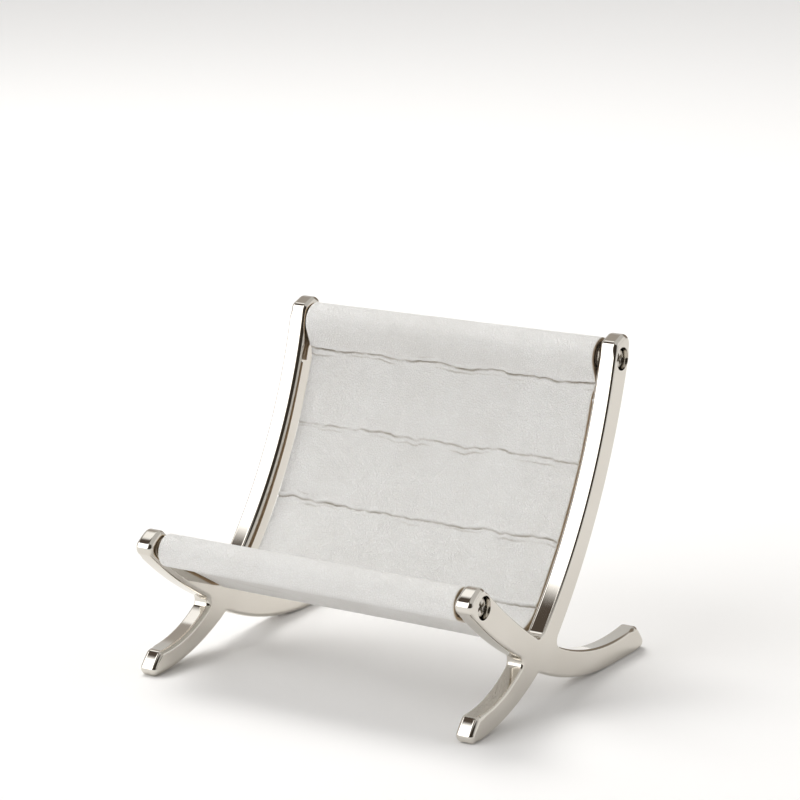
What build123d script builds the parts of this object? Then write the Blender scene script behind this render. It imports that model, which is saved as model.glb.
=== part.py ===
from build123d import *
from math import acos, atan2, cos, degrees, radians, sin, sqrt
import os

# Phone stand shaped like a small X-framed lounge chair: two cast side frames, two crossbars
# screwed between them, and a leather sling that hangs from the crossbars.
#
# Millimetres. +X runs along the crossbars, +Y towards the back, +Z up. The origin is on the
# surface the stand rests on, midway between the side frames and midway between the feet.
# Profiles are drawn on YZ planes, so a profile point is (y, z).

# ---- driving dimensions ----------------------------------------------------------------
overall_width = 91.2            # over the outer faces of the side frames
frame_thickness = 4.7           # of each side frame, along X
outer_edge_radius = 0.65        # rounding of the edges round each frame's outer face
inner_edge_radius = 1.2         # softer rounding round each frame's inner face

# Side frame: each long edge is one arc, given by its radius and the points where it ends.
crotch_top = (-9.8, 15.7)       # where the seat arm meets the back bar, above the crossing
crotch_low = (-10.7, 8.3)       # where the two legs part, below the crossing
crotch_front = (-16.7, 12.9)    # between the seat arm and the front leg
crotch_rear = (-3.5, 12.9)      # between the back bar and the rear leg
crotch_top_radius = 3.0
crotch_low_radius = 1.5
crotch_front_radius = 1.7
crotch_rear_radius = 1.8

back_top_front = (24.6, 77.5)   # corners of the back bar's upper end
back_top_rear = (32.35, 80.3)
back_top_front_radius = 1.25
back_top_rear_radius = 2.6
back_front_arc = 122.8          # radius of the bar's front edge, the side the phone leans on
back_rear_arc = 143.0

arm_end_upper = (-35.2, 35.1)   # corners of the seat arm's free end
arm_end_lower = (-41.3, 31.1)
arm_end_upper_radius = 1.25
arm_end_lower_radius = 2.1
arm_upper_arc = 155.0
arm_lower_arc = 109.4

foot_reach = 41.3               # from the middle to the toe line of either foot, at the floor
foot_slope = 52.0               # degrees, of the sloping end face of each foot
front_foot_height = 5.7
rear_foot_height = 6.3
front_leg_upper_arc = 31.2
front_leg_lower_arc = 58.0
rear_leg_upper_arc = 66.6
rear_leg_lower_arc = 80.6
front_foot_flat = -37.0         # y where the front leg's underside meets the floor
rear_foot_flat = 25.0           # y where the rear leg's underside meets the floor
foot_instep_radius = 1.4
foot_toe_radius = 1.25

# Crossbars and screws
front_bar_centre = (-34.8, 30.1)
top_bar_centre = (27.3, 73.4)
bar_diameter = 5.6
bar_end_chamfer = 0.4
tapped_depth = 9.0
tapped_radius = 1.55
screw_radius = 1.5
screw_length = 10.0             # under the head
head_radius = 2.35
head_height = 1.5
head_edge_radius = 0.55
recess_arm_width = 0.75         # cross recess of the screw head
recess_arm_length = 2.8
recess_depth = 1.0
recess_taper = 12.0
recess_angle = 20.0             # degrees the recess is turned from the vertical
counterbore_radius = 2.7
counterbore_depth = 2.5
screw_hole_radius = 1.65

# Sling
sheet_width = 78.5              # of the sling between its two rolls
roll_width = 80.0               # of the leather where it is rolled round a crossbar
sling_setback = 3.0             # of its face behind the front edge of the back bar
face_leather = 0.9
stiffener_board = 0.4
lining_leather = 0.5
glue_gap = 0.02                 # kept between faces that are glued, so that no two solids overlap
top_roll_radius = 4.5           # outside of the leather where it wraps the top crossbar
front_roll_radius = 3.9
sleeve_length = 6.8             # from a crossbar's centre to where its sleeve is glued shut
flap_length = 10.0              # from a crossbar's centre to the end of the turned-in leather
board_start = 10.5              # from a crossbar's centre to the edge of the board and lining
bend_radius = 10.5              # of the sling's face, between seat and back
seat_slope = -31.1              # degrees, of the seat as it falls away from the front crossbar
seat_drop = 0.1                 # of the seat's face below the front crossbar's centre line

# ---- derived sizes ---------------------------------------------------------------------
inner_width = overall_width - 2 * frame_thickness
half_width = overall_width / 2
foot_run = cos(radians(foot_slope)) / sin(radians(foot_slope))   # of the foot's end, per mm of height
front_instep = (-foot_reach + front_foot_height * foot_run, front_foot_height)
rear_instep = (foot_reach - rear_foot_height * foot_run, rear_foot_height)
front_toe = (-foot_reach, 0.0)
rear_toe = (foot_reach, 0.0)
front_flat_start = (front_foot_flat, 0.0)
rear_flat_start = (rear_foot_flat, 0.0)
sling_thickness = face_leather + stiffener_board + lining_leather + 2 * glue_gap


def distance(start, end):
    return sqrt((end[0] - start[0]) ** 2 + (end[1] - start[1]) ** 2)


def direction(start, end):
    """Angle in degrees of the line from start to end."""
    return degrees(atan2(end[1] - start[1], end[0] - start[0]))


def polar(start, length, angle):
    """The point a length away from start, at an angle in degrees."""
    return (start[0] + length * cos(radians(angle)), start[1] + length * sin(radians(angle)))


def arc_centre(start, end, radius):
    """Centre of the arc from start to end that has its centre on the left."""
    half = distance(start, end) / 2
    middle = polar(start, half, direction(start, end))
    return polar(middle, sqrt(radius**2 - half**2), direction(start, end) + 90)


def crossing(centre, radius, other, other_radius, side):
    """Point where two circles cross: side 1 is left of the line from centre to other, -1 right."""
    gap = distance(centre, other)
    cosine = (radius**2 + gap**2 - other_radius**2) / (2 * radius * gap)
    return polar(centre, radius, direction(centre, other) + side * degrees(acos(cosine)))


def tangent_point(point, centre, radius, side):
    """Point where a line from point touches a circle: side 1 or -1 picks one of the two."""
    spread = degrees(acos(radius / distance(point, centre)))
    return polar(centre, radius, direction(centre, point) + side * spread)


# ---- side frames: the right one is drawn, the left one is its mirror image --------------
with BuildPart() as right_side_frame:
    with BuildSketch(Plane.YZ.offset(half_width)) as frame_profile:
        with BuildLine():
            RadiusArc(crotch_top, back_top_front, -back_front_arc)
            Line(back_top_front, back_top_rear)
            RadiusArc(back_top_rear, crotch_rear, back_rear_arc)
            RadiusArc(crotch_rear, rear_instep, -rear_leg_upper_arc)
            Line(rear_instep, rear_toe)
            Line(rear_toe, rear_flat_start)
            RadiusArc(rear_flat_start, crotch_low, rear_leg_lower_arc)
            RadiusArc(crotch_low, front_flat_start, front_leg_lower_arc)
            Line(front_flat_start, front_toe)
            Line(front_toe, front_instep)
            RadiusArc(front_instep, crotch_front, -front_leg_upper_arc)
            RadiusArc(crotch_front, arm_end_lower, arm_lower_arc)
            Line(arm_end_lower, arm_end_upper)
            RadiusArc(arm_end_upper, crotch_top, -arm_upper_arc)
        make_face()
        for corner, radius in (
            (crotch_top, crotch_top_radius),
            (crotch_low, crotch_low_radius),
            (crotch_front, crotch_front_radius),
            (crotch_rear, crotch_rear_radius),
            (back_top_front, back_top_front_radius),
            (back_top_rear, back_top_rear_radius),
            (arm_end_upper, arm_end_upper_radius),
            (arm_end_lower, arm_end_lower_radius),
            (front_instep, foot_instep_radius),
            (rear_instep, foot_instep_radius),
            (front_toe, foot_toe_radius),
            (rear_toe, foot_toe_radius),
        ):
            fillet(frame_profile.vertices().sort_by_distance(corner)[0], radius)
    extrude(amount=-frame_thickness)
    fillet(right_side_frame.faces().sort_by(Axis.X)[-1].edges(), outer_edge_radius)
    fillet(right_side_frame.faces().sort_by(Axis.X)[0].edges(), inner_edge_radius)
    with Locations(Plane.YZ.offset(half_width)):
        with Locations(front_bar_centre, top_bar_centre):
            CounterBoreHole(screw_hole_radius, counterbore_radius, counterbore_depth)
right_side_frame.part.label = "right_side_frame"

with BuildPart() as left_side_frame:
    mirror(right_side_frame.part, about=Plane.YZ)
left_side_frame.part.label = "left_side_frame"


# ---- crossbars: round rods, faced to the inner width, with a tapped hole in each end -----
def crossbar(label, centre):
    with BuildPart() as bar:
        with BuildSketch(Plane.YZ):
            with Locations(centre):
                Circle(bar_diameter / 2)
        extrude(amount=inner_width / 2, both=True)
        chamfer(bar.edges().group_by(Axis.X)[0] + bar.edges().group_by(Axis.X)[-1], bar_end_chamfer)
        for side in (1, -1):
            with BuildSketch(Plane.YZ.offset(side * inner_width / 2)):
                with Locations(centre):
                    Circle(tapped_radius)
            extrude(amount=-side * tapped_depth, mode=Mode.SUBTRACT)
    bar.part.label = label
    return bar


front_crossbar = crossbar("front_crossbar", front_bar_centre)
top_crossbar = crossbar("top_crossbar", top_bar_centre)


# ---- screws: pan heads with a cross recess, sunk in the counterbores ---------------------
def right_screw(label, centre):
    seat = half_width - counterbore_depth
    with BuildPart() as screw:
        with BuildSketch(Plane.YZ.offset(seat)):
            with Locations(centre):
                Circle(head_radius)
        extrude(amount=head_height)
        fillet(screw.edges().group_by(Axis.X)[-1], head_edge_radius)
        with BuildSketch(Plane.YZ.offset(seat)):
            with Locations(centre):
                Circle(screw_radius)
        extrude(amount=-screw_length)
        with BuildSketch(Plane.YZ.offset(seat + head_height)):
            with Locations(Pos(*centre) * Rot(0, 0, recess_angle)):
                Rectangle(recess_arm_length, recess_arm_width)
                Rectangle(recess_arm_width, recess_arm_length)
        extrude(amount=-recess_depth, taper=recess_taper, mode=Mode.SUBTRACT)
    screw.part.label = label
    return screw


def mirrored(label, original):
    with BuildPart() as copy:
        mirror(original.part, about=Plane.YZ)
    copy.part.label = label
    return copy


front_right_screw = right_screw("front_right_screw", front_bar_centre)
top_right_screw = right_screw("top_right_screw", top_bar_centre)
front_left_screw = mirrored("front_left_screw", front_right_screw)
top_left_screw = mirrored("top_left_screw", top_right_screw)


# ---- sling -----------------------------------------------------------------------------
# Seen from the side, the sling's face is one arc behind the back bar, a bend, and a straight
# seat. Each layer below the face follows the same line at its own depth.
back_centre = arc_centre(crotch_top, back_top_front, back_front_arc)
face_arc = back_front_arc + sling_setback
seat_normal = seat_slope + 90
seat_origin = polar(front_bar_centre, -seat_drop, seat_normal)      # face, beside the front bar

# The bend's centre is bend_radius from the seat and from the back's arc.
bend_line = polar(seat_origin, bend_radius, seat_normal)
to_line = direction(back_centre, bend_line) - seat_slope
reach = distance(back_centre, bend_line)
along_seat = sqrt((face_arc - bend_radius) ** 2 - (reach * sin(radians(to_line))) ** 2)
along_seat -= reach * cos(radians(to_line))
bend_centre = polar(bend_line, along_seat, seat_slope)
bend_back_angle = direction(back_centre, bend_centre)
bend_seat_angle = seat_normal - 180


def back_point(depth, length):
    """Point of the back, at a depth below the face, at a length from the top crossbar."""
    face_point = crossing(back_centre, face_arc, top_bar_centre, length, -1)
    return polar(back_centre, face_arc + depth, direction(back_centre, face_point))


def seat_point(depth, length):
    """Point of the seat, at a depth below the face, at a length from the front crossbar."""
    return polar(polar(seat_origin, length, seat_slope), -depth, seat_normal)


def sling_line(depth, length):
    """Draw the sling's line at a depth, starting and ending at a length from the crossbars."""
    middle_angle = (bend_back_angle + bend_seat_angle) / 2
    bend_start = polar(bend_centre, bend_radius + depth, bend_back_angle)
    bend_middle = polar(bend_centre, bend_radius + depth, middle_angle)
    bend_end = polar(bend_centre, bend_radius + depth, bend_seat_angle)
    RadiusArc(back_point(depth, length), bend_start, face_arc + depth)
    ThreePointArc(bend_start, bend_middle, bend_end)
    Line(bend_end, seat_point(depth, length))


def layer_profile(depth, thickness, length):
    """A layer's section: its two sides follow the sling's line, and its ends are square."""
    with BuildLine() as outline:
        sling_line(depth, length)
        sling_line(depth + thickness, length)
        Line(back_point(depth, length), back_point(depth + thickness, length))
        Line(seat_point(depth, length), seat_point(depth + thickness, length))
    make_face(outline.edges())


def sleeve_profile(bar_centre, roll_radius, end_point, side):
    """The face leather's loop round a crossbar, down to where it is glued shut."""
    under_face = face_leather
    over_flap = sling_thickness - face_leather
    for radius, upper, lower, mode in (
        (roll_radius, 0, sling_thickness, Mode.ADD),
        (roll_radius - face_leather, under_face, over_flap, Mode.SUBTRACT),
    ):
        face_closure = end_point(upper, sleeve_length)
        flap_closure = end_point(lower, sleeve_length)
        face_tangent = tangent_point(face_closure, bar_centre, radius, -side)
        flap_tangent = tangent_point(flap_closure, bar_centre, radius, side)
        far_side = polar(bar_centre, radius, direction(face_closure, bar_centre))
        with BuildLine() as loop:
            Line(face_closure, face_tangent)
            ThreePointArc(face_tangent, far_side, flap_tangent)
            Line(flap_tangent, flap_closure)
            Line(flap_closure, face_closure)
        make_face(loop.edges(), mode=mode)


def flap_profile(end_point):
    """The turned-in end of the face leather, glued under the face to close a sleeve."""
    over_flap = sling_thickness - face_leather
    with BuildLine() as flap:
        Polyline(
            end_point(over_flap, sleeve_length),
            end_point(over_flap, flap_length),
            end_point(sling_thickness, flap_length),
            end_point(sling_thickness, sleeve_length),
            close=True,
        )
    make_face(flap.edges())


# Face leather: one strip that turns round both crossbars and is glued back under itself.
with BuildPart() as sling_face:
    with BuildSketch(Plane.YZ):
        sleeve_profile(top_bar_centre, top_roll_radius, back_point, 1)
        sleeve_profile(front_bar_centre, front_roll_radius, seat_point, -1)
    extrude(amount=roll_width / 2, both=True)
    with BuildSketch(Plane.YZ):
        layer_profile(0, face_leather, sleeve_length)
        flap_profile(back_point)
        flap_profile(seat_point)
    extrude(amount=sheet_width / 2, both=True)
sling_face.part.label = "sling_face"


def inner_layer(label, depth, thickness):
    """A layer under the face, between the turned-in ends of the face leather."""
    with BuildPart() as layer:
        with BuildSketch(Plane.YZ):
            layer_profile(depth, thickness, board_start)
        extrude(amount=sheet_width / 2, both=True)
    layer.part.label = label
    return layer


sling_stiffener = inner_layer("sling_stiffener", face_leather + glue_gap, stiffener_board)
lining_depth = sling_thickness - lining_leather
sling_lining = inner_layer("sling_lining", lining_depth, lining_leather)

# ---- one STEP file for each piece --------------------------------------------------------
os.makedirs("parts", exist_ok=True)
for piece in (
    right_side_frame, left_side_frame, front_crossbar, top_crossbar,
    front_right_screw, front_left_screw, top_right_screw, top_left_screw,
    sling_face, sling_stiffener, sling_lining,
):
    export_step(piece.part, f"parts/{piece.part.label}.step")
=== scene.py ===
import math

import bpy
from mathutils import Matrix, Vector, noise
from mathutils.geometry import tessellate_polygon


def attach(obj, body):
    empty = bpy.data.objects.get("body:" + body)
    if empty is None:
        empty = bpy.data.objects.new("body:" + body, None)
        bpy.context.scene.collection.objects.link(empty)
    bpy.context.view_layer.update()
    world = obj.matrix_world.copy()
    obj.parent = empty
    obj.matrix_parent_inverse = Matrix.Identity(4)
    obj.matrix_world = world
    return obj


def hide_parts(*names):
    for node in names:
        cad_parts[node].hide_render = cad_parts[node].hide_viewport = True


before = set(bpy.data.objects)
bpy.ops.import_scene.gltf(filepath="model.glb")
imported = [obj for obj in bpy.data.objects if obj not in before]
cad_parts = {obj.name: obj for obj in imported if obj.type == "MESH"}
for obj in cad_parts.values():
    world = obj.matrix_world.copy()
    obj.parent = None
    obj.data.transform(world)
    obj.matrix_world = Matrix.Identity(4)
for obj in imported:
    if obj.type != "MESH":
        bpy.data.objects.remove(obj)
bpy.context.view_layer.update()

# Phone stand. The crossbars and their screws are the CAD's own pieces, given materials. The side
# frames are built here again from the CAD outline, with softer ends. The leather sling is built
# layer by layer, along the line that the CAD solids follow.
# Side-view points are (y, z) in millimetres, as in the part's source; meshes are in metres.
MM = 0.001

# ---- dimensions that the part's source has too -------------------------------------------
OVERALL_HALF = 91.2 / 2         # from the middle to a side frame's outer face
FRAME_THICKNESS = 4.7
OUTER_EDGE = 0.65               # rounding of the long edges round each frame's outer face
SOFT_EDGE = 1.2                 # rounding round the inner face, and here of the outer face's ends
CROTCH_TOP = (-9.8, 15.7)       # where the seat arm meets the back bar, above the crossing
CROTCH_LOW = (-10.7, 8.3)       # where the two legs part, below the crossing
CROTCH_FRONT = (-16.7, 12.9)    # between the seat arm and the front leg
CROTCH_REAR = (-3.5, 12.9)      # between the back bar and the rear leg
BACK_TOP_FRONT = (24.6, 77.5)   # corners of the back bar's upper end
BACK_TOP_REAR = (32.35, 80.3)
BACK_FRONT_ARC = 122.8          # radius of the bar's front edge, the side the phone leans on
ARM_END_UPPER = (-35.2, 35.1)   # corners of the seat arm's free end
ARM_END_LOWER = (-41.3, 31.1)
FOOT_REACH = 41.3               # from the middle to the toe line of either foot, at the floor
FOOT_RUN = 1 / math.tan(math.radians(52.0))     # of the foot's sloping end, per mm of height
FRONT_FOOT_HEIGHT = 5.7
REAR_FOOT_HEIGHT = 6.3
FRONT_FOOT_FLAT = (-37.0, 0.0)  # where each leg's underside meets the floor
REAR_FOOT_FLAT = (25.0, 0.0)
FRONT_BAR = (-34.8, 30.1)       # centre of each crossbar
TOP_BAR = (27.3, 73.4)
SCREW_HOLE, COUNTERBORE, COUNTERBORE_DEPTH = 1.65, 2.7, 2.5

SHEET_HALF = 78.5 / 2           # half the width of the sling between its two rolls
ROLL_HALF = 80.0 / 2            # half the width of the leather where it is rolled round a bar
SLING_SETBACK = 3.0             # of its face behind the front edge of the back bar
FACE_LEATHER = 0.9
BOARD = 0.4
LINING = 0.5
GLUE_GAP = 0.02                 # kept between faces that are glued
THICKNESS = FACE_LEATHER + BOARD + LINING + 2 * GLUE_GAP
TOP_ROLL = 4.5                  # radius outside the leather where it wraps each bar
FRONT_ROLL = 3.9
SLEEVE = 6.8                    # from a bar's centre to where its sleeve is glued shut
FLAP = 10.0                     # from a bar's centre to the end of the turned-in leather
BOARD_START = 10.5              # from a bar's centre to the edge of the board and lining
BEND = 10.5                     # radius of the sling's face, between seat and back
SEAT_SLOPE = -31.1              # degrees, of the seat as it falls away from the front bar
SEAT_DROP = 0.1                 # of the seat's face below the front bar's centre line
FACE_ARC = BACK_FRONT_ARC + SLING_SETBACK
SEAT_NORMAL = SEAT_SLOPE + 90

# ---- geometry in the side view -----------------------------------------------------------
LINE_STEP = 0.1                 # between the points of a sling line


def distance(start, end):
    return math.hypot(end[0] - start[0], end[1] - start[1])


def direction(start, end):
    return math.degrees(math.atan2(end[1] - start[1], end[0] - start[0]))


def polar(start, length, angle):
    turn = math.radians(angle)
    return (start[0] + length * math.cos(turn), start[1] + length * math.sin(turn))


def arc_centre(start, end, radius):
    """The centre of an arc that runs anticlockwise from start to end."""
    half = distance(start, end) / 2
    middle = polar(start, half, direction(start, end))
    return polar(middle, math.sqrt(radius**2 - half**2), direction(start, end) + 90)


def crossing(centre, radius, other, other_radius, side):
    """A point where two circles cross: side is 1 or -1, for the one or the other point."""
    gap = distance(centre, other)
    cosine = (radius**2 + gap**2 - other_radius**2) / (2 * radius * gap)
    return polar(centre, radius, direction(centre, other) + side * math.degrees(math.acos(cosine)))


def tangent_point(point, centre, radius, side):
    """Where a line from a point touches a circle, on one side or the other."""
    spread = math.degrees(math.acos(radius / distance(point, centre)))
    return polar(centre, radius, direction(centre, point) + side * spread)


BACK_CENTRE = arc_centre(CROTCH_TOP, BACK_TOP_FRONT, BACK_FRONT_ARC)
SEAT_ORIGIN = polar(FRONT_BAR, -SEAT_DROP, SEAT_NORMAL)


def bend_centre():
    """The centre of the arc, of radius BEND, that is tangent to the seat and to the back."""
    start = polar(SEAT_ORIGIN, BEND, SEAT_NORMAL)
    turn = math.radians(direction(BACK_CENTRE, start) - SEAT_SLOPE)
    reach = distance(BACK_CENTRE, start)
    along_seat = math.sqrt((FACE_ARC - BEND) ** 2 - (reach * math.sin(turn)) ** 2)
    return polar(start, along_seat - reach * math.cos(turn), SEAT_SLOPE)


BEND_CENTRE = bend_centre()
BEND_BACK_ANGLE = direction(BACK_CENTRE, BEND_CENTRE)
BEND_SEAT_ANGLE = SEAT_NORMAL - 180


def back_point(depth, length):
    """A point of the back, so deep below the face and so far from the top bar's centre."""
    face_point = crossing(BACK_CENTRE, FACE_ARC, TOP_BAR, length, -1)
    return polar(BACK_CENTRE, FACE_ARC + depth, direction(BACK_CENTRE, face_point))


def seat_point(depth, length):
    """A point of the seat, so deep below the face and so far from the front bar's centre."""
    return polar(polar(SEAT_ORIGIN, length, SEAT_SLOPE), -depth, SEAT_NORMAL)


def line_points(start, end):
    count = max(2, int(distance(start, end) / LINE_STEP))
    return [tuple(a + (b - a) * i / count for a, b in zip(start, end)) for i in range(count + 1)]


def arc_points(centre, start, end, turn):
    """Points of an arc from start to end: turn is 1 anticlockwise and -1 clockwise."""
    radius = distance(centre, start)
    first = direction(centre, start)
    sweep = (turn * (direction(centre, end) - first)) % 360
    count = max(2, int(math.radians(sweep) * radius / LINE_STEP))
    return [polar(centre, radius, first + turn * sweep * i / count) for i in range(count + 1)]


def layer_line(depth, length):
    """A layer's line at a depth below the face, from the top crossbar to the front one."""
    top = back_point(depth, length)
    bend_start = polar(BEND_CENTRE, BEND + depth, BEND_BACK_ANGLE)
    bend_end = polar(BEND_CENTRE, BEND + depth, BEND_SEAT_ANGLE)
    points = arc_points(BACK_CENTRE, top, bend_start, -1)
    points += arc_points(BEND_CENTRE, bend_start, bend_end, -1)
    return points + line_points(bend_end, seat_point(depth, length))


def face_line():
    """The grain side of the face leather, from one turned-in end, round both bars, to the other."""
    top_face, top_under = back_point(0, SLEEVE), back_point(THICKNESS, SLEEVE)
    top_in = tangent_point(top_under, TOP_BAR, TOP_ROLL, 1)
    top_out = tangent_point(top_face, TOP_BAR, TOP_ROLL, -1)
    front_face, front_under = seat_point(0, SLEEVE), seat_point(THICKNESS, SLEEVE)
    front_in = tangent_point(front_face, FRONT_BAR, FRONT_ROLL, 1)
    front_out = tangent_point(front_under, FRONT_BAR, FRONT_ROLL, -1)
    points = line_points(back_point(THICKNESS, FLAP), top_under) + line_points(top_under, top_in)
    points += arc_points(TOP_BAR, top_in, top_out, 1) + line_points(top_out, top_face)
    points += layer_line(0, SLEEVE) + line_points(front_face, front_in)
    points += arc_points(FRONT_BAR, front_in, front_out, 1)
    points += line_points(front_out, front_under)
    return points + line_points(front_under, seat_point(THICKNESS, FLAP))


class Line:
    """A side-view line that gives a point and its outward normal at any length along it. It is
    smoothed: each of its points is an average over this length before and after it."""

    def __init__(self, points, smooth):
        even = self.spaced(points)
        half = int(smooth / LINE_STEP)
        rounded = []
        for i in range(len(even)):
            window = min(half, i, len(even) - 1 - i)
            near = even[i - window : i + window + 1]
            rounded.append(tuple(sum(p[k] for p in near) / len(near) for k in (0, 1)))
        self.points = self.spaced(rounded)
        self.length = (len(self.points) - 1) * LINE_STEP

    def spaced(self, points):
        """Points a step apart along the line through the given ones."""
        made, carried = [points[0]], 0.0
        for start, end in zip(points, points[1:]):
            span = distance(start, end)
            while span > 1e-9 and carried + span >= LINE_STEP:
                share = (LINE_STEP - carried) / span
                start = tuple(a + (b - a) * share for a, b in zip(start, end))
                made.append(start)
                span, carried = distance(start, end), 0.0
            carried += span
        return made

    def at(self, length):
        """The point at a length, and the normal there, from a chord over a few steps."""
        place = min(max(length / LINE_STEP, 0), len(self.points) - 1.001)
        i = int(place)
        (y, z), (y2, z2) = self.points[i], self.points[i + 1]
        low, high = self.points[max(i - 2, 0)], self.points[min(i + 3, len(self.points) - 1)]
        span = distance(low, high)
        normal = ((high[1] - low[1]) / span, -(high[0] - low[0]) / span)
        share = place - i
        return (y + (y2 - y) * share, z + (z2 - z) * share), normal

    def length_at_height(self, height, low, high):
        """The length, between two limits, at which a falling line passes a height."""
        for i in range(int(low / LINE_STEP), int(high / LINE_STEP)):
            if self.points[i][1] >= height > self.points[i + 1][1]:
                return i * LINE_STEP
        raise ValueError(f"the line doesn't pass {height} mm")


def ease(value, low, high):
    """A smooth step from 0 at low to 1 at high."""
    share = min(max((value - low) / (high - low), 0), 1)
    return share * share * (3 - 2 * share)


def bell(value, width):
    return math.exp(-((value / width) ** 2))


def wander(x, seed, size):
    """Smooth noise along the width, from about -1 to 1, with features of a size in mm. Each seed
    has its own place in the noise."""
    return 2 * noise.noise(Vector((x / size, 7.31 * seed, 1.7 * seed)))


CREASE_REACH = 3.2              # along the leather, on either side of a crease's line


def stations(length, fine_spots, coarse, fine):
    """Lengths along a line: fine steps near the given spots and coarse ones elsewhere."""
    made, here = [0.0], 0.0
    while here < length:
        near = min((abs(here - spot) for spot in fine_spots), default=math.inf)
        here += fine if near < CREASE_REACH else coarse
        made.append(min(here, length))
    return made


def placed(name, data):
    """A new object, in the scene, with the data."""
    piece = bpy.data.objects.new(name, data)
    bpy.context.collection.objects.link(piece)
    return piece


# ---- materials ---------------------------------------------------------------------------
# A mix node repeats its socket names for each type of data: these are the colour ones.
MIX_FIRST, MIX_SECOND, MIX_RESULT = 6, 7, 2
PEBBLE_WARP = 0.00055           # metres, how far the leather's pebbles are pushed out of shape
PEBBLE_HEIGHT = 0.00015
LOOSE_HEIGHT = 0.00018          # of the loose, cloudy grain under the pebbles


class Nodes:
    """A node tree being built: add() makes a node and sets its sockets, linked or plain."""

    def __init__(self, tree, coordinates):
        self.tree = tree
        self.place = self.add("ShaderNodeTexCoord").outputs[coordinates]

    def add(self, kind, sockets=(), **settings):
        node = self.tree.nodes.new(kind)
        for key, value in settings.items():
            setattr(node, key, value)
        for key, value in dict(sockets).items():
            self.put(node.inputs[key], value)
        return node

    def put(self, socket, value):
        if isinstance(value, bpy.types.NodeSocket):
            self.tree.links.new(value, socket)
        else:
            socket.default_value = value

    def noise(self, scale, detail=3.0, roughness=0.55, place=None, distortion=0.0):
        sockets = {"Vector": place or self.place, "Scale": scale, "Detail": detail,
                   "Roughness": roughness, "Distortion": distortion}
        return self.add("ShaderNodeTexNoise", sockets).outputs["Fac"]

    def cells(self, scale, place):
        """The distance to the nearest border between cells, for pebbled grain."""
        sockets = {"Vector": place, "Scale": scale, "Randomness": 1.0}
        node = self.add("ShaderNodeTexVoronoi", sockets, feature="DISTANCE_TO_EDGE")
        return node.outputs["Distance"]

    def range(self, value, low, high, to_low=0.0, to_high=1.0, smooth=False):
        sockets = {"Value": value, "From Min": low, "From Max": high,
                   "To Min": to_low, "To Max": to_high}
        kind = "SMOOTHSTEP" if smooth else "LINEAR"
        return self.add("ShaderNodeMapRange", sockets, interpolation_type=kind).outputs["Result"]

    def math(self, operation, first, second=0.0):
        return self.add("ShaderNodeMath", {0: first, 1: second}, operation=operation).outputs[0]

    def vector(self, operation, first, second, result):
        return self.add("ShaderNodeVectorMath", {0: first, 1: second}, operation=operation).outputs[result]

    def mix(self, share, first, second):
        sockets = {0: share, MIX_FIRST: first, MIX_SECOND: second}
        return self.add("ShaderNodeMix", sockets, data_type="RGBA").outputs[MIX_RESULT]

    def stretched(self, scale):
        sockets = {"Vector": self.place, "Scale": scale}
        return self.add("ShaderNodeMapping", sockets).outputs["Vector"]

    def bump(self, height, distance_m, strength=1.0, under=None):
        sockets = {"Height": height, "Distance": distance_m, "Strength": strength}
        if under is not None:
            sockets["Normal"] = under
        return self.add("ShaderNodeBump", sockets).outputs["Normal"]

    def attribute(self, name):
        return self.add("ShaderNodeAttribute", attribute_name=name).outputs["Fac"]


class Material(Nodes):
    """A material being built: shade() sets the sockets of its surface shader."""

    def __init__(self, name):
        self.material = bpy.data.materials.new(name)
        self.material.use_nodes = True
        super().__init__(self.material.node_tree, "Object")
        self.shader = self.tree.nodes["Principled BSDF"]

    def shade(self, **sockets):
        for key, value in sockets.items():
            self.put(self.shader.inputs[key.replace("_", " ")], value)


def colour(red, green, blue):
    return (red, green, blue, 1.0)


def polished_nickel():
    """Mirror-polished cast metal: slow waves from hand polishing, faint hairlines and handling."""
    n = Material("polished_nickel")
    waves = n.noise(scale=75.0, detail=1.0, roughness=0.4)
    hairlines = n.noise(scale=900.0, detail=2.0, roughness=0.5, place=n.stretched((6.0, 0.5, 0.5)))
    cloudy = n.noise(scale=160.0, detail=4.0, roughness=0.6)
    tint = n.range(n.noise(scale=45.0, detail=2.0), 0.35, 0.65)
    n.shade(
        Base_Color=n.mix(tint, colour(0.705, 0.672, 0.617), colour(0.675, 0.64, 0.58)),
        Metallic=1.0,
        Roughness=n.range(cloudy, 0.35, 0.75, 0.035, 0.085),
        Normal=n.bump(hairlines, 0.000002, 0.5, n.bump(waves, 0.00005, 0.6)),
    )
    return n.material


def ground_steel():
    """Plain rod, ground round its axis: rings across the bar, slightly dull."""
    n = Material("ground_steel")
    rings = n.noise(scale=1500.0, detail=2.0, roughness=0.6, place=n.stretched((2.5, 0.15, 0.15)))
    n.shade(
        Base_Color=n.mix(rings, colour(0.50, 0.49, 0.47), colour(0.66, 0.65, 0.62)),
        Metallic=1.0,
        Roughness=n.range(rings, 0.3, 0.7, 0.18, 0.34),
        Normal=n.bump(rings, 0.00001, 0.7),
    )
    return n.material


def screw_nickel():
    """Plated screw: bright, with duller, darker specks of dust scattered over it by noise."""
    n = Material("screw_nickel")
    grime = n.noise(scale=1400.0, detail=4.0, roughness=0.6)
    specks = n.range(grime, 0.5, 0.72, 0.0, 0.65, smooth=True)
    turning = n.noise(scale=4000.0, detail=1.0, roughness=0.5)
    n.shade(
        Base_Color=n.mix(specks, colour(0.64, 0.61, 0.56), colour(0.24, 0.22, 0.19)),
        Metallic=1.0,
        Roughness=n.range(grime, 0.3, 0.75, 0.10, 0.34),
        Normal=n.bump(turning, 0.000006, 0.6),
    )
    return n.material


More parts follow.
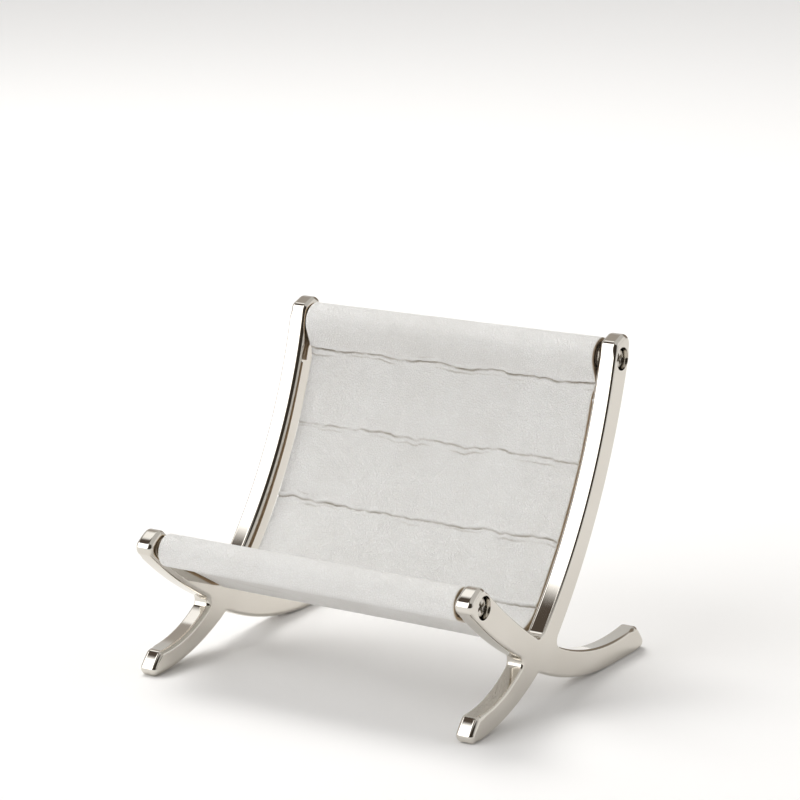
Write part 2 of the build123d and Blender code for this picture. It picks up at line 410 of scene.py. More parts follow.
def grained_leather(name, pale, deep, crease_shade, grain=1.0):
    """Finished leather: two sizes of pebbles, a cloudy grain, a mottled tint, painted shade in the creases
    and between the pebbles, and a painted highlight on the raised lips beside the creases."""
    n = Material(name)
    warp = n.add("ShaderNodeTexNoise", {"Vector": n.place, "Scale": 700.0, "Detail": 2.0})
    shift = n.vector("MULTIPLY", warp.outputs["Color"], (PEBBLE_WARP,) * 3, 0)
    bent = n.vector("ADD", n.place, shift, 0)
    plump = n.range(n.cells(1700.0, bent), 0.0, 0.22, smooth=True)
    dimples = n.range(n.cells(3600.0, bent), 0.0, 0.2, smooth=True)
    loose = n.noise(scale=260.0, detail=3.0, roughness=0.6, distortion=0.6)
    patchy = n.range(n.noise(scale=70.0, detail=4.0, roughness=0.6), 0.35, 0.68)
    crease_shade_mask = n.attribute("crease_shade")
    painted_lip_highlight = n.attribute("lip_highlight")
    height = n.math("ADD", n.math("MULTIPLY", plump, 0.75), n.math("MULTIPLY", dimples, 0.25))
    base = n.mix(patchy, pale, deep)
    # Painted shade between the pebbles: their borders lean a little towards the crease colour.
    base = n.mix(n.range(plump, 0.0, 0.6, 0.1, 0.0), base, crease_shade)
    # Painted highlight on the raised lips beside the creases, mixed towards the pale colour.
    base = n.mix(n.math("MULTIPLY", painted_lip_highlight, 0.35), base, pale)
    # Painted shade in the creases: the crease colour laid over the leather along each groove.
    base = n.mix(crease_shade_mask, base, crease_shade)
    dull = n.math("ADD", loose, n.math("MULTIPLY", crease_shade_mask, 0.4))
    grain_bump = n.bump(height, PEBBLE_HEIGHT * grain, 1.0)
    n.shade(
        Base_Color=base,
        Roughness=n.range(dull, 0.3, 0.9, 0.42, 0.68),
        Specular_IOR_Level=0.42,
        Sheen_Weight=0.08,
        Sheen_Roughness=0.4,
        Normal=n.bump(loose, LOOSE_HEIGHT * grain, 0.5, grain_bump),
    )
    return n.material


def leather_flesh():
    """The leather's inner side: a short tan nap, with fibres lying every way."""
    n = Material("leather_flesh")
    nap = n.noise(scale=2600.0, detail=5.0, roughness=0.7, distortion=1.2)
    n.shade(
        Base_Color=n.mix(nap, colour(0.45, 0.35, 0.25), colour(0.72, 0.62, 0.50)),
        Roughness=0.92,
        Specular_IOR_Level=0.15,
        Sheen_Weight=0.4,
        Normal=n.bump(nap, 0.00012, 0.8),
    )
    return n.material


def cut_edge():
    """A cut through the leather: tan fibre, with the pale finish as a thin line at the grain side."""
    n = Material("cut_edge")
    fibre = n.noise(scale=3200.0, detail=4.0, roughness=0.7)
    skin = n.range(n.attribute("skin"), 0.55, 0.95, smooth=True)
    body = n.mix(fibre, colour(0.36, 0.25, 0.15), colour(0.60, 0.47, 0.33))
    n.shade(
        Base_Color=n.mix(skin, body, colour(0.84, 0.81, 0.75)),
        Roughness=n.range(fibre, 0.3, 0.7, 0.55, 0.85),
        Specular_IOR_Level=0.3,
        Normal=n.bump(fibre, 0.00008, 0.7),
    )
    return n.material


def fibre_board():
    """Bonded leather fibre: a flecked tan board, seen only as a line along the sling's sides."""
    n = Material("fibre_board")
    flecks = n.noise(scale=2200.0, detail=5.0, roughness=0.75, place=n.stretched((1.0, 1.0, 2.2)))
    tone = n.range(flecks, 0.3, 0.7)
    n.shade(
        Base_Color=n.mix(tone, colour(0.26, 0.17, 0.10), colour(0.55, 0.42, 0.29)),
        Roughness=0.85,
        Specular_IOR_Level=0.2,
        Normal=n.bump(flecks, 0.00006, 0.7),
    )
    return n.material


# ---- side frames: the CAD outline again, with finer rounding and softer ends -------------
STRAIGHT = 20000.0              # radius of the arc that stands for a straight edge
SOFTENING = 2.4                 # length of edge over which the outer rounding grows to SOFT_EDGE
SAMPLE_STEP = 0.8               # along a long edge
SAMPLE_TURN = 7.0               # degrees, round a corner
ROUND_STEPS = 8                 # faces across a rounded edge
HOLE_STEPS = 56                 # faces round a hole
HOLE_CHAMFER = 0.07
MOUTH = COUNTERBORE + HOLE_CHAMFER
MOUTH_LAND = 0.03               # flat metal left between a counterbore's mouth and the rounding
FRONT_TOE, REAR_TOE = (-FOOT_REACH, 0.0), (FOOT_REACH, 0.0)
FRONT_INSTEP = (-FOOT_REACH + FRONT_FOOT_HEIGHT * FOOT_RUN, FRONT_FOOT_HEIGHT)
REAR_INSTEP = (FOOT_REACH - REAR_FOOT_HEIGHT * FOOT_RUN, REAR_FOOT_HEIGHT)
# Each corner, clockwise: its place, its rounding, the radius of the edge that leaves it, and
# whether it belongs to an end. A radius is positive where the edge's centre is outside the frame.
CORNERS = (
    (CROTCH_TOP, 3.0, BACK_FRONT_ARC, False),
    (BACK_TOP_FRONT, 1.9, -90.0, True),
    (BACK_TOP_REAR, 2.6, -143.0, True),
    (CROTCH_REAR, 1.8, 66.6, False),
    (REAR_INSTEP, 1.8, -24.0, True),
    (REAR_TOE, 1.6, -STRAIGHT, True),
    (REAR_FOOT_FLAT, 0.0, -80.6, False),
    (CROTCH_LOW, 1.5, -58.0, False),
    (FRONT_FOOT_FLAT, 0.0, -STRAIGHT, False),
    (FRONT_TOE, 1.6, -24.0, True),
    (FRONT_INSTEP, 1.8, 31.2, True),
    (CROTCH_FRONT, 1.7, -109.4, False),
    (ARM_END_LOWER, 2.1, -15.0, True),
    (ARM_END_UPPER, 2.1, 155.0, True),
)


def edge_centre(start, end, radius):
    return arc_centre(start, end, radius) if radius > 0 else arc_centre(end, start, -radius)


def heading(centre, point, radius):
    """Direction of travel, clockwise round the frame, at a point of an edge."""
    return direction(centre, point) + math.copysign(90, radius)


def corner_arc(edge_1, edge_2, place, rounding):
    """The arc that rounds a corner: (where it starts, where it ends, centre, signed radius)."""
    if not rounding:
        return place, place, None, 0
    (centre_1, radius_1), (centre_2, radius_2) = edge_1, edge_2
    turn = math.radians(heading(centre_2, place, radius_2) - heading(centre_1, place, radius_1))
    inward = 1 if math.sin(turn) < 0 else -1
    reach_1, reach_2 = (abs(radius + inward * rounding) for radius in (radius_1, radius_2))
    centres = [crossing(centre_1, reach_1, centre_2, reach_2, side) for side in (1, -1)]
    centre = min(centres, key=lambda point: distance(point, place))
    start = polar(centre_1, abs(radius_1), direction(centre_1, centre))
    end = polar(centre_2, abs(radius_2), direction(centre_2, centre))
    return start, end, centre, -inward * rounding


def outline_arcs():
    """The outline as arcs: (centre, signed radius, start, end, whether it belongs to an end)."""
    following = CORNERS[1:] + CORNERS[:1]
    edges = [
        (edge_centre(place, after[0], radius), radius)
        for (place, _, radius, _), after in zip(CORNERS, following)
    ]
    joints = [
        corner_arc(edges[i - 1], edges[i], place, rounding)
        for i, (place, rounding, _, _) in enumerate(CORNERS)
    ]
    arcs = []
    for i, ((_, _, _, at_end), after) in enumerate(zip(CORNERS, following)):
        start, end, centre, rounding = joints[i]
        if centre:
            arcs.append((centre, rounding, start, end, at_end))
        next_start = joints[(i + 1) % len(joints)][0]
        arcs.append((*edges[i], end, next_start, at_end and after[3]))
    return arcs


def outline_points():
    """Points along the outline, clockwise: (point, outward normal, length so far, whether it
    belongs to an end), and the outline's whole length."""
    made, total = [], 0.0
    for centre, radius, start, end, at_end in outline_arcs():
        sense = math.copysign(1, radius)
        first = direction(centre, start)
        sweep = (sense * (direction(centre, end) - first)) % 360
        step = min(SAMPLE_TURN, math.degrees(SAMPLE_STEP / abs(radius)))
        count = max(1, math.ceil(sweep / step))
        for i in range(count):
            angle = first + sense * sweep * i / count
            outward = polar((0, 0), 1, angle + 180 if radius > 0 else angle)
            length = total + math.radians(sweep) * abs(radius) * i / count
            made.append((polar(centre, abs(radius), angle), outward, length, at_end))
        total += math.radians(sweep) * abs(radius)
    return made, total


def outline_samples():
    """Points of the outline: (point, outward normal, reach, depth). Reach and depth of the outer
    side's rounding, across the flat side and down the edge, each come with their growth."""
    points, total = outline_points()
    lengths = [length for _, _, length, _ in points]
    end_lengths = [length for _, _, length, at_end in points if at_end]
    reaches, depths = [], []
    for point, _, length, _ in points:
        gap = min(abs((length - other + total / 2) % total - total / 2) for other in end_lengths)
        room = min(distance(point, bar) for bar in (FRONT_BAR, TOP_BAR)) - MOUTH - MOUTH_LAND
        depths.append(SOFT_EDGE + (OUTER_EDGE - SOFT_EDGE) * ease(gap, SAMPLE_STEP, SOFTENING))
        reaches.append(min(depths[-1], room))
    made = []
    for i, (point, outward, _, _) in enumerate(points):
        after = (i + 1) % len(points)
        span = (lengths[after] - lengths[i - 1]) % total
        growths = [(sizes[after] - sizes[i - 1]) / span for sizes in (reaches, depths)]
        made.append((point, outward, (reaches[i], growths[0]), (depths[i], growths[1])))
    return made


class Casting:
    """The mesh of a side frame in the making. It is built as the right frame, in millimetres,
    and hand is 1 for that one and -1 for its mirror image."""

    OUTER = OVERALL_HALF
    INNER = OVERALL_HALF - FRAME_THICKNESS

    def __init__(self, hand):
        self.hand = hand
        self.vertices, self.faces, self.normals = [], [], []

    def ring(self, points):
        """Adds points and gives their indices."""
        start = len(self.vertices)
        self.vertices.extend((self.hand * x * MM, y * MM, z * MM) for x, y, z in points)
        return list(range(start, len(self.vertices)))

    def add(self, indices, directions):
        """Adds a face, wound so that it faces the way its corners' normals point."""
        directions = [(self.hand * x, y, z) for x, y, z in directions]
        a, b, c = (Vector(self.vertices[i]) for i in indices[:3])
        facing = (b - a).cross(c - b).dot(sum((Vector(d) for d in directions), Vector()))
        order = 1 if facing >= 0 else -1
        self.faces.append(tuple(indices[::order]))
        self.normals.extend(directions[::order])

    def strip(self, ring_1, ring_2, facing_1, facing_2):
        """Adds the faces between two rings, given the normals at each."""
        for i in range(len(ring_1)):
            j = (i + 1) % len(ring_1)
            self.add((ring_1[i], ring_1[j], ring_2[j], ring_2[i]),
                     (facing_1[i], facing_1[j], facing_2[j], facing_2[i]))

    def edge_ring(self, samples, side, share):
        """One ring round the outline, on the rounding of the outer side, 1, or the inner one, -1:
        share runs from 0 on the edge's flat part to 1 on the flat side."""
        cosine, sine = math.cos(share * math.pi / 2), math.sin(share * math.pi / 2)
        points, directions = [], []
        for (y, z), (ny, nz), outer_reach, outer_depth in samples:
            (reach, widening), (depth, deepening) = outer_reach, outer_depth
            if side < 0:
                reach, widening, depth, deepening = SOFT_EDGE, 0.0, SOFT_EDGE, 0.0
            inset, sunk = reach * (1 - cosine), depth * (1 - sine)
            x = self.OUTER - sunk if side > 0 else self.INNER + sunk
            tilt = (widening * depth * (1 - cosine) * cosine
                    + deepening * reach * (1 - sine) * sine)
            points.append((x, y - ny * inset, z - nz * inset))
            facing = Vector((side * reach * sine, depth * cosine * ny + tilt * nz,
                             depth * cosine * nz - tilt * ny))
            directions.append(tuple(facing.normalized()))
        return self.ring(points), directions

    def rim(self):
        """Adds the edge all round, with both roundings, and gives its outer and inner ring."""
        samples = outline_samples()
        rings = [
            self.edge_ring(samples, side, 1 - k / ROUND_STEPS if side > 0 else k / ROUND_STEPS)
            for side in (1, -1)
            for k in range(ROUND_STEPS + 1)
        ]
        for (ring_1, facing_1), (ring_2, facing_2) in zip(rings, rings[1:]):
            self.strip(ring_1, ring_2, facing_1, facing_2)
        return rings[0][0], rings[-1][0]

    def hole(self, bar):
        """Adds the walls of a counterbored screw hole, and gives its outer and inner mouth."""
        turns = [360 * i / HOLE_STEPS for i in range(HOLE_STEPS)]
        floor_level = self.OUTER - COUNTERBORE_DEPTH
        walls = [(0.0, *polar((0, 0), -1, angle)) for angle in turns]
        outwards, inwards = [(1.0, 0.0, 0.0)] * HOLE_STEPS, [(-1.0, 0.0, 0.0)] * HOLE_STEPS
        sections = (
            (self.OUTER, MOUTH), (self.OUTER - HOLE_CHAMFER, COUNTERBORE),
            (floor_level, COUNTERBORE), (floor_level, SCREW_HOLE),
            (self.INNER + HOLE_CHAMFER, SCREW_HOLE), (self.INNER, SCREW_HOLE + HOLE_CHAMFER),
        )
        rings = [
            self.ring([(x, *polar(bar, radius, angle)) for angle in turns])
            for x, radius in sections
        ]
        facings = (
            (outwards, walls), (walls, walls), (outwards, outwards), (walls, walls), (walls, inwards),
        )
        for ring_1, ring_2, (facing_1, facing_2) in zip(rings, rings[1:], facings):
            self.strip(ring_1, ring_2, facing_1, facing_2)
        return rings[0], rings[-1]

    def flat_side(self, side, loops):
        """Adds a flat side between its rim and its holes."""
        flat = [i for loop in loops for i in loop]
        shapes = [
            [Vector((self.vertices[i][1] / MM, self.vertices[i][2] / MM, 0)) for i in loop]
            for loop in loops
        ]
        for triangle in tessellate_polygon(shapes):
            self.add([flat[i] for i in triangle], [(float(side), 0.0, 0.0)] * 3)


def side_frame(name, hand, material):
    """One side frame: a polished casting with two counterbored screw holes."""
    casting = Casting(hand)
    outer_rim, inner_rim = casting.rim()
    outer_mouths, inner_mouths = zip(*(casting.hole(bar) for bar in (FRONT_BAR, TOP_BAR)))
    casting.flat_side(1, [outer_rim, *outer_mouths])
    casting.flat_side(-1, [inner_rim, *inner_mouths])
    mesh = bpy.data.meshes.new(name)
    mesh.from_pydata(casting.vertices, [], casting.faces)
    mesh.shade_smooth()
    mesh.normals_split_custom_set(casting.normals)
    mesh.materials.append(material)
    return placed(name, mesh)


# ---- leather layers ----------------------------------------------------------------------
RIM = 0.14                      # how far the corners of a cut edge are rounded
RIM_POINTS = ((0.7, 0.29), (1.0, 1.0))          # round such a corner, out and down, in RIMs
COLUMN = 0.66                   # width of one column of faces
COLUMNS = int(2 * SHEET_HALF / COLUMN) + 1      # points across the outer side, or the inner one
LAST = COLUMNS - 1
EDGE_POINTS = 2 * len(RIM_POINTS)               # points down a cut edge
RING = 2 * COLUMNS + 2 * EDGE_POINTS            # points round a layer at one length
OUTER_SLOT, INNER_SLOT, EDGE_SLOT = 0, 1, 2
EDGE_CREASE_SHADE = 0.5                 # how much of a crease's painted shade is carried down to the cut edge


def edge_points(side, inner_half, shape, thickness):
    """The points down the right edge, side 1, or up the left one, -1: (x, height, painted crease shade,
    painted lip highlight, skin).
    """
    height, wave, crease_shade, _ = shape
    top, bottom = height + wave, wave - thickness
    levels = [(out, top - down * RIM) for out, down in RIM_POINTS]
    levels += [(out, bottom + down * RIM) for out, down in reversed(RIM_POINTS)]
    return [
        (side * (inner_half + out * RIM), level, crease_shade * EDGE_CREASE_SHADE, 0.0, (level - bottom) / (top - bottom))
        for out, level in levels[::side]
    ]


def layer_ring(length, point, inner_half, thickness, relief):
    """The points round a layer at one length, as (x, height, painted crease shade, painted lip highlight,
    skin): across the outer side, down the right edge, back across the inner side and up the left edge."""
    across = [(-1 + 2 * j / LAST) * inner_half for j in range(COLUMNS)]
    shapes = [relief(length, x, point) for x in across]
    outer = [
        (x, height + wave, crease_shade, lip_highlight, 1.0) for x, (height, wave, crease_shade, lip_highlight) in zip(across, shapes)
    ]
    inner = [(x, wave - thickness, 0.0, 0.0, 0.0) for x, (_, wave, _, _) in zip(across, shapes)]
    right = edge_points(1, inner_half, shapes[-1], thickness)
    left = edge_points(-1, inner_half, shapes[0], thickness)
    return outer + right + inner[::-1] + left


def ring_slots():
    """The material slot of each face round a layer."""
    slots = [EDGE_SLOT] * RING
    slots[:LAST] = [OUTER_SLOT] * LAST
    inner_start = COLUMNS + EDGE_POINTS
    slots[inner_start : inner_start + LAST] = [INNER_SLOT] * LAST
    return slots


def ring_faces(start):
    """The faces between one ring, which starts at this index, and the next."""
    return [
        (start + j, start + (j + 1) % RING, start + (j + 1) % RING + RING, start + j + RING)
        for j in range(RING)
    ]


def end_faces(start, order):
    """The faces that close an end, across one ring: order is 1 for the first and -1 for the last."""
    inner_start = start + COLUMNS + EDGE_POINTS
    inner_end = inner_start + LAST
    faces = [
        (start + j, inner_end - j, inner_end - j - 1, start + j + 1) for j in range(LAST)
    ]
    right = tuple(range(start + LAST, inner_start + 1))
    left = (*range(inner_end, start + RING), start)
    return [face[::order] for face in (*faces, right[::-1], left[::-1])]


def layer_mesh(name, line, thickness, half_width, relief, spots, materials, coarse=0.62, fine=0.14):
    """A closed layer along a side-view line, with finer faces near some spots. relief(length, x,
    point) gives the outer side's height, the whole layer's wave, the painted crease shade and the
    painted lip highlight. The materials are those of the outer side, the inner side and the cut edges."""
    rows = stations(line.length, spots, coarse, fine)
    vertices, shades = [], []
    for length in rows:
        point, normal = line.at(length)
        inner_half = half_width(length) - RIM
        for x, height, *values in layer_ring(length, point, inner_half, thickness, relief):
            y, z = point[0] + normal[0] * height, point[1] + normal[1] * height
            vertices.append((x * MM, y * MM, z * MM))
            shades.append(values)
    faces, slots = [], []
    for i in range(len(rows) - 1):
        faces += ring_faces(i * RING)
        slots += ring_slots()
    for start, order in ((0, 1), ((len(rows) - 1) * RING, -1)):
        closing = end_faces(start, order)
        faces += closing
        slots += [EDGE_SLOT] * len(closing)
    mesh = bpy.data.meshes.new(name)
    mesh.from_pydata(vertices, [], faces)
    for label, values in zip(("crease_shade", "lip_highlight", "skin"), zip(*shades)):
        mesh.attributes.new(label, "FLOAT", "POINT").data.foreach_set("value", values)
    for material in materials:
        mesh.materials.append(material)
    mesh.polygons.foreach_set("material_index", slots)
    mesh.shade_smooth()
    mesh.update()
    return placed(name, mesh)


# ---- the sling's relief: waves, creases and swellings ------------------------------------
CREASES = ((67.0, 1.15), (49.6, 1.0), (33.0, 1.0), (20.0, 0.9))     # across the back: height, depth
CREASE_FADE = 0.8               # length over which a crease fades out at the end of its reach
CREASE_LEAD = 1.5               # before the top sleeve's end, where the creases may start
WAVE = 0.42                     # of the sling's sides
MIDDLE_WAVE = 0.25              # how much of it is left in the middle
WAVE_ACROSS, WAVE_ALONG, WAVE_SEED = 0.02, 0.045, 3.0
NARROW_FROM, NARROW_TO = 1.0, 3.5       # before and after a sleeve's end, towards the sheet
UNEVENNESS = 0.05
SWELLING = 0.16                 # of the leather between two creases
# A crease's height across its line: (height, place, width) of each part.
LIP_BEFORE = (0.20, -0.55, 0.5)
GROOVE = (-0.34, 0.05, 0.2)
LIP_AFTER = (0.1, 0.65, 0.45)
SECOND_GROOVE = (-0.18, 0.0, 0.16)
# The painted shade in the grooves, and the painted highlight on the lips, that go with them, in the same
# form.
GROOVE_SHADE = (0.85, 0.05, 0.2)
SECOND_SHADE = (0.5, 0.0, 0.17)
LIP_HIGHLIGHT = (1.0, -0.5, 0.4)
# What varies along a crease: (amount, addition to the seed, size of its features) of each part.
LINE_WANDER = ((0.42, 0, 9.0), (0.22, 20, 2.6), (0.1, 120, 1.5))
DEPTH_WANDER = ((0.35, 40, 6.0), (0.25, 140, 1.9))
GAP_WANDER = ((0.45, 60, 12.0),)
BREAK_WANDER = ((0.75, 80, 7.0),)
SIDE_WANDER = ((1.0, 100, 30.0),)
# What these vary about: a crease's depth, its gap to the second line, and that line's own depth.
MEAN_DEPTH, MEAN_GAP, MEAN_BREAK = 0.82, 1.15, 0.35
SIDE_BIAS = -0.2                # above it, the second line lies on the far side of the crease
CLOSE = 0.35                    # within which the face leather counts as being at a place
FACE_SMOOTHING, LAYER_SMOOTHING = 0.7, 0.3
# Fine creases on the lining: (length along it, slant, depth).
LINING_CREASES = (
    (9.0, 0.16, 0.5), (15.0, -0.1, 0.35), (38.0, 0.05, 0.45), (57.0, -0.04, 0.5), (74.0, 0.06, 0.4),
)
LINING_SPOTS = (9.0, 15.0)      # the creases near the front bar, where the faces are finer
LINING_UNEVENNESS = 0.03
LINING_GROOVE = (-0.16, 0.0, 0.28)
LINING_SHADE = (0.5, 0.0, 0.25)
LINING_LINE_WANDER = ((0.8, 200, 14.0),)
LINING_BREAK_WANDER = ((0.8, 220, 16.0),)
LINING_MEAN_BREAK = 0.3
BOARD_INSET = 0.12              # of its side edges from the face leather's
LINING_INSET = 0.05


def wanders(x, seed, parts):
    """The sum of several wanders."""
    return sum(amount * wander(x, seed + more, size) for amount, more, size in parts)


def profile(away, *parts):
    """The sum of several bells, at a distance from the crease's line."""
    return sum(height * bell(away - place, width) for height, place, width in parts)


def side_wave(x, point, share):
    """The sling's sides lift and dip a little between the bars, and its middle less."""
    y, z = WAVE_ALONG * point[0], WAVE_ALONG * point[1] + WAVE_SEED
    lift = noise.noise(Vector((WAVE_ACROSS * x, y, z)))
    return WAVE * lift * share * (MIDDLE_WAVE + (1 - MIDDLE_WAVE) * abs(x / SHEET_HALF) ** 3)


def closure(steps, place):
    """The length at which the face leather reaches a place, trying the line's steps in order."""
    return next(step * LINE_STEP for step in steps if distance(face.points[step], place) < CLOSE)


face = Line(face_line(), FACE_SMOOTHING)
top_closure = closure(range(len(face.points)), back_point(0, SLEEVE))
front_closure = closure(range(len(face.points) - 1, 0, -1), seat_point(0, SLEEVE))
crease_spots = [
    face.length_at_height(height, top_closure - CREASE_LEAD, front_closure)
    for height, _ in CREASES
]
board_line = Line(layer_line(FACE_LEATHER + GLUE_GAP, BOARD_START), LAYER_SMOOTHING)
lining_line = Line(layer_line(THICKNESS, BOARD_START)[::-1], LAYER_SMOOTHING)


def sheet_share(length):
    """0 on the rolls and 1 on the sheet between them."""
    leaving = ease(length, top_closure - NARROW_FROM, top_closure + NARROW_TO)
    arriving = ease(length, front_closure - NARROW_TO, front_closure + NARROW_FROM)
    return leaving * (1 - arriving)


def face_half_width(length):
    return ROLL_HALF + (SHEET_HALF - ROLL_HALF) * sheet_share(length)


def crease(away, x, seed, depth):
    """One pressed crease, as its height, its painted shade and the painted highlight on its lips: a
    wandering groove between two lips, and a second, broken line to one side of it or the other."""
    strength = depth * (MEAN_DEPTH + wanders(x, seed, DEPTH_WANDER))
    broken = depth * max(0.0, MEAN_BREAK + wanders(x, seed, BREAK_WANDER))
    gap = MEAN_GAP + wanders(x, seed, GAP_WANDER)
    side = 1 if wanders(x, seed, SIDE_WANDER) > SIDE_BIAS else -1
    first = away - wanders(x, seed, LINE_WANDER)
    second = first - side * gap
    height = strength * profile(first, LIP_BEFORE, GROOVE, LIP_AFTER)
    height += broken * profile(second, SECOND_GROOVE)
    crease_shade = strength * profile(first, GROOVE_SHADE) + broken * profile(second, SECOND_SHADE)
    return height, crease_shade, strength * profile(first, LIP_HIGHLIGHT)


def face_relief(length, x, point):
    """The relief of the grain side: creases, the leather swelling between them, slow unevenness."""
    height = UNEVENNESS * noise.noise(Vector((x / 7, length / 5, 2.0)))
    crease_shade = lip_highlight = 0.0
    for seed, (spot, (_, depth)) in enumerate(zip(crease_spots, CREASES)):
        away = length - spot
        if abs(away) < CREASE_REACH:
            # Each crease gives its rise, its painted shade and the painted highlight on its lips.
            rise, crease_shade_share, pale = crease(away, x, seed, depth)
            window = 1 - ease(abs(away), CREASE_REACH - CREASE_FADE, CREASE_REACH)
            height += rise * window
            crease_shade += crease_shade_share * window
            lip_highlight += pale * window
    for before, after in zip(crease_spots, crease_spots[1:]):
        if before < length < after:
            height += SWELLING * math.sin(math.pi * (length - before) / (after - before))
    wave = side_wave(x, point, sheet_share(length))
    return height, wave, min(max(crease_shade, 0), 1), min(max(lip_highlight, 0), 1)


def board_relief(length, x, point):
    """The board is smooth, and waves with the leather on it."""
    return 0.0, side_wave(x, point, 1.0), 0.0, 0.0


def lining_relief(length, x, point):
    """Fine, slanting creases, shallow and broken, where the sling bends under a phone's weight."""
    height = LINING_UNEVENNESS * noise.noise(Vector((x / 6, length / 4, 9.0)))
    crease_shade = 0.0
    for seed, (spot, slant, depth) in enumerate(LINING_CREASES):
        away = length - spot - slant * x - wanders(x, seed, LINING_LINE_WANDER)
        if abs(away) < CREASE_REACH:
            broken = LINING_MEAN_BREAK + wanders(x, seed, LINING_BREAK_WANDER)
            strength = depth * max(0.0, broken)
            height += strength * profile(away, LINING_GROOVE)
            # Painted shade along the lining's creases.
            crease_shade += strength * profile(away, LINING_SHADE)
    return height, -side_wave(x, point, 1.0), min(crease_shade, 1.0), 0.0


# ---- the pieces --------------------------------------------------------------------------
nickel = polished_nickel()
steel = ground_steel()
screws = screw_nickel()
# The third colour of each leather is its painted shade, for the creases and between the pebbles.
ivory = grained_leather(
    "ivory_leather", colour(0.92, 0.918, 0.905), colour(0.875, 0.868, 0.85), colour(0.43, 0.375, 0.31)
)
pale_lining = grained_leather(
    "ivory_lining", colour(0.87, 0.86, 0.84), colour(0.82, 0.805, 0.78), colour(0.40, 0.34, 0.27),
    grain=0.8,
)
flesh = leather_flesh()
cut = cut_edge()
board = fibre_board()

sling = layer_mesh(
    "sling_leather", face, FACE_LEATHER, face_half_width, face_relief, crease_spots,
    (ivory, flesh, cut),
)
stiffener = layer_mesh(
    "stiffener_board", board_line, BOARD, lambda length: SHEET_HALF - BOARD_INSET, board_relief, (),
    (board, board, board), coarse=0.9,
)
lining = layer_mesh(
    "sling_lining_leather", lining_line, LINING, lambda length: SHEET_HALF - LINING_INSET,
    lining_relief, LINING_SPOTS, (pale_lining, flesh, cut), coarse=0.6, fine=0.3,
)

for piece, node, slot_name in (
    (sling, "sling_face", "face_leather"),
    (stiffener, "sling_stiffener", "fibre_board"),
    (lining, "sling_lining", "lining_leather"),
):
    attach(piece, "root")
    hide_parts(node)

for name, node, hand in (
    ("right_frame_casting", "right_side_frame", 1),
    ("left_frame_casting", "left_side_frame", -1),
):
    casting = side_frame(name, hand, nickel)
    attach(casting, "root")
    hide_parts(node)

for node, material in (
    ("front_crossbar", steel), ("top_crossbar", steel),
    ("front_right_screw", screws), ("front_left_screw", screws),
    ("top_right_screw", screws), ("top_left_screw", screws),
):
    piece = bpy.data.objects[node]
    piece.data.materials.clear()
    piece.data.materials.append(material)

# ---- floor, light and camera, in metres --------------------------------------------------
FLOOR_HALF = 6.0
FLOOR_LEVEL = -0.00002          # just under the feet
CAMERA_PLACE = (0.3449, -0.5360, 0.2164)
CAMERA_FORWARD = (-0.524, 0.819, -0.233)
CAMERA_RIGHT = (0.843, 0.538, -0.007)
LENS, SENSOR_WIDTH = 127.0, 36.0        # millimetres
NEAREST, FARTHEST = 0.01, 50.0
LAMP_COLOUR = (1.0, 0.985, 0.96)
SOFTBOX = (-0.60, -0.66, 0.45)
WALL = (0.66, 0.655, 0.645)
# Each patch of the world: where it lies, the cosines where its edge starts and ends, its colour.
PATCHES = (
    ((0.62, -0.74, 0.25), 0.70, 0.84, (0.045, 0.038, 0.03)),    # dark flag right of the camera
    (SOFTBOX, 0.60, 0.68, (0.16, 0.13, 0.105)),                 # dark surround of the softbox
    (SOFTBOX, 0.80, 0.86, (2.5, 2.5, 2.5)),                     # softbox at the front left
    ((-0.52, 0.46, 0.72), 0.960, 0.988, (0.46, 0.425, 0.39)),   # dim gap behind the top light
    ((-0.53, 0.12, 0.84), 0.982, 0.992, (1.35, 1.35, 1.35)),    # top light
    ((-0.52, -0.22, 0.82), 0.960, 0.984, (0.10, 0.08, 0.065)),  # dark gap above the softbox
    ((0.80, 0.55, 0.24), 0.86, 0.95, (0.95, 0.94, 0.93)),       # pale wall at the right rear
    ((0.10, 0.95, 0.30), 0.88, 0.96, (0.25, 0.21, 0.17)),       # brown wall behind
)


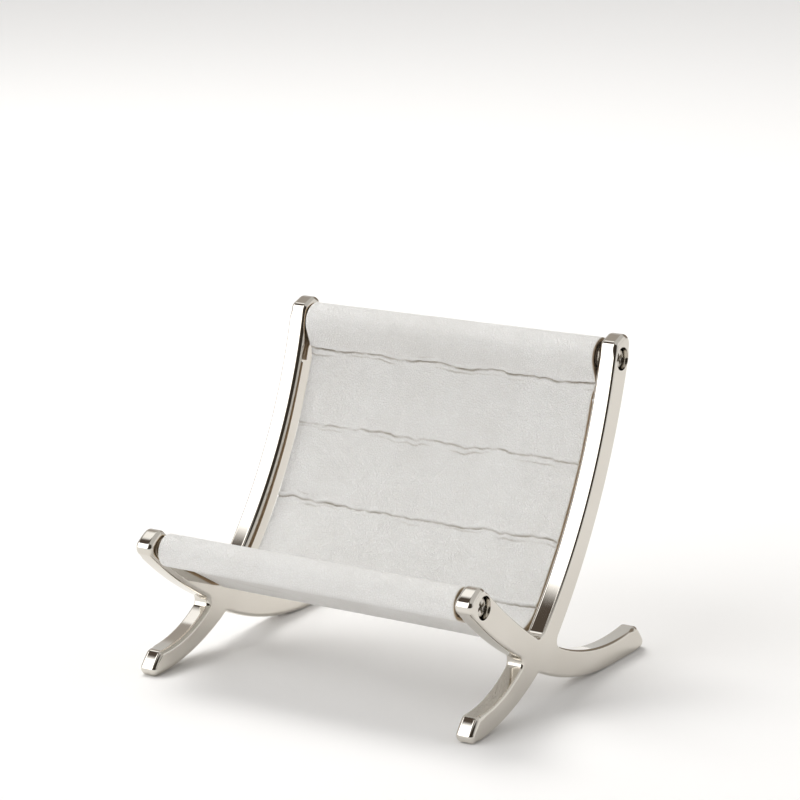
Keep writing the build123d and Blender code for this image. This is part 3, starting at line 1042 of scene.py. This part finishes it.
def paper_floor():
    """A wide, pale floor under the stand."""
    half = FLOOR_HALF
    mesh = bpy.data.meshes.new("floor")
    corners = [(-half, -half, 0), (half, -half, 0), (half, half, 0), (-half, half, 0)]
    mesh.from_pydata(corners, [], [(0, 1, 2, 3)])
    paper = Material("pale_floor")
    paper.shade(Base_Color=colour(0.97, 0.97, 0.97), Roughness=0.9, Specular_IOR_Level=0.1)
    mesh.materials.append(paper.material)
    sheet = placed("floor", mesh)
    sheet.location.z = FLOOR_LEVEL
    return sheet


def studio():
    """A world of soft patches on a pale wall, each one laid over those before it."""
    world = bpy.data.worlds.new("studio")
    world.use_nodes = True
    n = Nodes(world.node_tree, "Generated")
    shade = colour(*WALL)
    for place, edge_start, edge_end, light in PATCHES:
        cosine = n.vector("DOT_PRODUCT", n.place, Vector(place).normalized(), "Value")
        share = n.range(cosine, edge_start, edge_end, smooth=True)
        shade = n.mix(share, shade, colour(*light))
    n.put(n.tree.nodes["Background"].inputs["Color"], shade)
    return world


def area_light(name, place, aim, size, power):
    """A square, slightly warm light that shows in no reflection."""
    lamp = bpy.data.lights.new(name, "AREA")
    lamp.shape, lamp.size, lamp.energy = "SQUARE", size, power
    lamp.color = LAMP_COLOUR
    holder = placed(name, lamp)
    holder.location = place
    holder.rotation_euler = (Vector(aim) - Vector(place)).to_track_quat("-Z", "Y").to_euler()
    holder.visible_glossy = False


def photo_camera():
    """A camera that sees the stand as the photo does."""
    lens = bpy.data.cameras.new("camera")
    lens.lens, lens.sensor_width = LENS, SENSOR_WIDTH
    lens.clip_start, lens.clip_end = NEAREST, FARTHEST
    forward = Vector(CAMERA_FORWARD).normalized()
    right = Vector(CAMERA_RIGHT)
    right = (right - forward * right.dot(forward)).normalized()
    up = right.cross(forward)
    turned = Matrix((right, up, -forward)).transposed().to_4x4()
    camera = placed("camera", lens)
    camera.matrix_world = Matrix.Translation(CAMERA_PLACE) @ turned
    return camera


floor = paper_floor()
area_light("top_softbox", place=(-0.62, 0.30, 1.15), aim=(0, 0, 0.04), size=0.66, power=8.0)
bpy.context.scene.world = studio()
bpy.context.scene.camera = photo_camera()
bpy.context.scene.view_settings.view_transform = "Standard"
